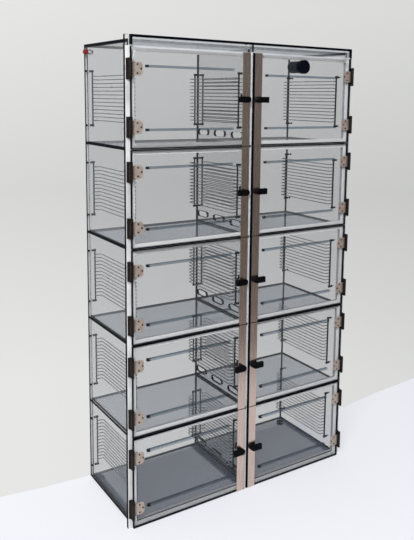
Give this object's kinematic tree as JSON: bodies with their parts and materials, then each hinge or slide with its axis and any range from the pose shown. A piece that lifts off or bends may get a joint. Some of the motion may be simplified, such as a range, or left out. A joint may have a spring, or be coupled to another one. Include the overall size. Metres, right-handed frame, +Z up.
{
  "type": "desiccator cabinet",
  "caption": "Tall clear-walled dry storage cabinet with hinged gasketed doors, turn latches, a middle divider and wire racks for trays.",
  "frame": {"origin": "centre of the footprint, on the floor, halfway between the latch fronts and the back panel", "axes": "+Z up, the doors face -Y, +X to the right of someone facing the doors"},
  "size_m": [0.924, 0.389, 1.609],
  "materials": {
    "clear_acrylic": "clear polished sheet",
    "shelf_acrylic": "clear polished sheet, smoky in depth",
    "gasket_foam": "pale closed-cell foam",
    "trim_steel": "brushed stainless steel",
    "brown_steel": "dark satin",
    "bare_steel": "bright drawn steel",
    "black_plastic": "moulded black, satin",
    "red_plastic": "dark red moulded",
    "valve_plastic": "moulded dark blue-black",
    "black_rubber": "moulded rubber"
  },
  "bodies": {
    "root": {"side_panel_left": "clear_acrylic", "side_panel_right": "clear_acrylic", "back_panel": "clear_acrylic", "top_panel": "clear_acrylic", "bottom_panel": "shelf_acrylic", "centre_divider": "clear_acrylic", "shelves": "shelf_acrylic", "frame_stiles": "clear_acrylic", "frame_rails": "clear_acrylic", "header_strip": "clear_acrylic", "hinge_brackets": "brown_steel", "hinge_pins": "bare_steel", "rack_uprights": "black_plastic", "rack_wires_left": "bare_steel", "rack_wires_right": "bare_steel", "rack_bolts": "black_plastic", "gas_inlet_fitting": "red_plastic", "gas_inlet_nut": "bare_steel", "rear_feet": "black_rubber"},
    "door_left_1": {"door_panel_left_1": "clear_acrylic", "door_gasket_left_1": "gasket_foam", "door_steel_left_1": "trim_steel"},
    "latch_left_1": {"latch_left_1": "black_plastic"},
    "door_right_1": {"door_panel_right_1": "clear_acrylic", "door_gasket_right_1": "gasket_foam", "door_steel_right_1": "trim_steel", "relief_valve": "valve_plastic"},
    "latch_right_1": {"latch_right_1": "black_plastic"},
    "door_left_2": {"door_panel_left_2": "clear_acrylic", "door_gasket_left_2": "gasket_foam", "door_steel_left_2": "trim_steel"},
    "latch_left_2": {"latch_left_2": "black_plastic"},
    "door_right_2": {"door_panel_right_2": "clear_acrylic", "door_gasket_right_2": "gasket_foam", "door_steel_right_2": "trim_steel"},
    "latch_right_2": {"latch_right_2": "black_plastic"},
    "door_left_3": {"door_panel_left_3": "clear_acrylic", "door_gasket_left_3": "gasket_foam", "door_steel_left_3": "trim_steel"},
    "latch_left_3": {"latch_left_3": "black_plastic"},
    "door_right_3": {"door_panel_right_3": "clear_acrylic", "door_gasket_right_3": "gasket_foam", "door_steel_right_3": "trim_steel"},
    "latch_right_3": {"latch_right_3": "black_plastic"},
    "door_left_4": {"door_panel_left_4": "clear_acrylic", "door_gasket_left_4": "gasket_foam", "door_steel_left_4": "trim_steel"},
    "latch_left_4": {"latch_left_4": "black_plastic"},
    "door_right_4": {"door_panel_right_4": "clear_acrylic", "door_gasket_right_4": "gasket_foam", "door_steel_right_4": "trim_steel"},
    "latch_right_4": {"latch_right_4": "black_plastic"},
    "door_left_5": {"door_panel_left_5": "clear_acrylic", "door_gasket_left_5": "gasket_foam", "door_steel_left_5": "trim_steel"},
    "latch_left_5": {"latch_left_5": "black_plastic"},
    "door_right_5": {"door_panel_right_5": "clear_acrylic", "door_gasket_right_5": "gasket_foam", "door_steel_right_5": "trim_steel"},
    "latch_right_5": {"latch_right_5": "black_plastic"}
  },
  "joints": [
    {"name": "hinge_left_1", "type": "hinge", "parent": "root", "child": "door_left_1", "pos_m": [-0.452, -0.1811, 1.4185], "axis": [0, 0, -1], "range_deg": [0, 170]},
    {"name": "latch_turn_left_1", "type": "hinge", "parent": "door_left_1", "child": "latch_left_1", "pos_m": [-0.025, -0.1755, 1.4185], "axis": [0, 1, 0], "range_deg": [0, 90]},
    {"name": "hinge_right_1", "type": "hinge", "parent": "root", "child": "door_right_1", "pos_m": [0.452, -0.1811, 1.4185], "axis": [0, 0, 1], "range_deg": [0, 170]},
    {"name": "latch_turn_right_1", "type": "hinge", "parent": "door_right_1", "child": "latch_right_1", "pos_m": [0.025, -0.1755, 1.4185], "axis": [0, -1, 0], "range_deg": [0, 90]},
    {"name": "hinge_left_2", "type": "hinge", "parent": "root", "child": "door_left_2", "pos_m": [-0.452, -0.1811, 1.1035], "axis": [0, 0, -1], "range_deg": [0, 170]},
    {"name": "latch_turn_left_2", "type": "hinge", "parent": "door_left_2", "child": "latch_left_2", "pos_m": [-0.025, -0.1755, 1.1035], "axis": [0, 1, 0], "range_deg": [0, 90]},
    {"name": "hinge_right_2", "type": "hinge", "parent": "root", "child": "door_right_2", "pos_m": [0.452, -0.1811, 1.1035], "axis": [0, 0, 1], "range_deg": [0, 170]},
    {"name": "latch_turn_right_2", "type": "hinge", "parent": "door_right_2", "child": "latch_right_2", "pos_m": [0.025, -0.1755, 1.1035], "axis": [0, -1, 0], "range_deg": [0, 90]},
    {"name": "hinge_left_3", "type": "hinge", "parent": "root", "child": "door_left_3", "pos_m": [-0.452, -0.1811, 0.7885], "axis": [0, 0, -1], "range_deg": [0, 170]},
    {"name": "latch_turn_left_3", "type": "hinge", "parent": "door_left_3", "child": "latch_left_3", "pos_m": [-0.025, -0.1755, 0.7885], "axis": [0, 1, 0], "range_deg": [0, 90]},
    {"name": "hinge_right_3", "type": "hinge", "parent": "root", "child": "door_right_3", "pos_m": [0.452, -0.1811, 0.7885], "axis": [0, 0, 1], "range_deg": [0, 170]},
    {"name": "latch_turn_right_3", "type": "hinge", "parent": "door_right_3", "child": "latch_right_3", "pos_m": [0.025, -0.1755, 0.7885], "axis": [0, -1, 0], "range_deg": [0, 90]},
    {"name": "hinge_left_4", "type": "hinge", "parent": "root", "child": "door_left_4", "pos_m": [-0.452, -0.1811, 0.4735], "axis": [0, 0, -1], "range_deg": [0, 170]},
    {"name": "latch_turn_left_4", "type": "hinge", "parent": "door_left_4", "child": "latch_left_4", "pos_m": [-0.025, -0.1755, 0.4735], "axis": [0, 1, 0], "range_deg": [0, 90]},
    {"name": "hinge_right_4", "type": "hinge", "parent": "root", "child": "door_right_4", "pos_m": [0.452, -0.1811, 0.4735], "axis": [0, 0, 1], "range_deg": [0, 170]},
    {"name": "latch_turn_right_4", "type": "hinge", "parent": "door_right_4", "child": "latch_right_4", "pos_m": [0.025, -0.1755, 0.4735], "axis": [0, -1, 0], "range_deg": [0, 90]},
    {"name": "hinge_left_5", "type": "hinge", "parent": "root", "child": "door_left_5", "pos_m": [-0.452, -0.1811, 0.1585], "axis": [0, 0, -1], "range_deg": [0, 170]},
    {"name": "latch_turn_left_5", "type": "hinge", "parent": "door_left_5", "child": "latch_left_5", "pos_m": [-0.025, -0.1755, 0.1585], "axis": [0, 1, 0], "range_deg": [0, 90]},
    {"name": "hinge_right_5", "type": "hinge", "parent": "root", "child": "door_right_5", "pos_m": [0.452, -0.1811, 0.1585], "axis": [0, 0, 1], "range_deg": [0, 170]},
    {"name": "latch_turn_right_5", "type": "hinge", "parent": "door_right_5", "child": "latch_right_5", "pos_m": [0.025, -0.1755, 0.1585], "axis": [0, -1, 0], "range_deg": [0, 90]}
  ]
}
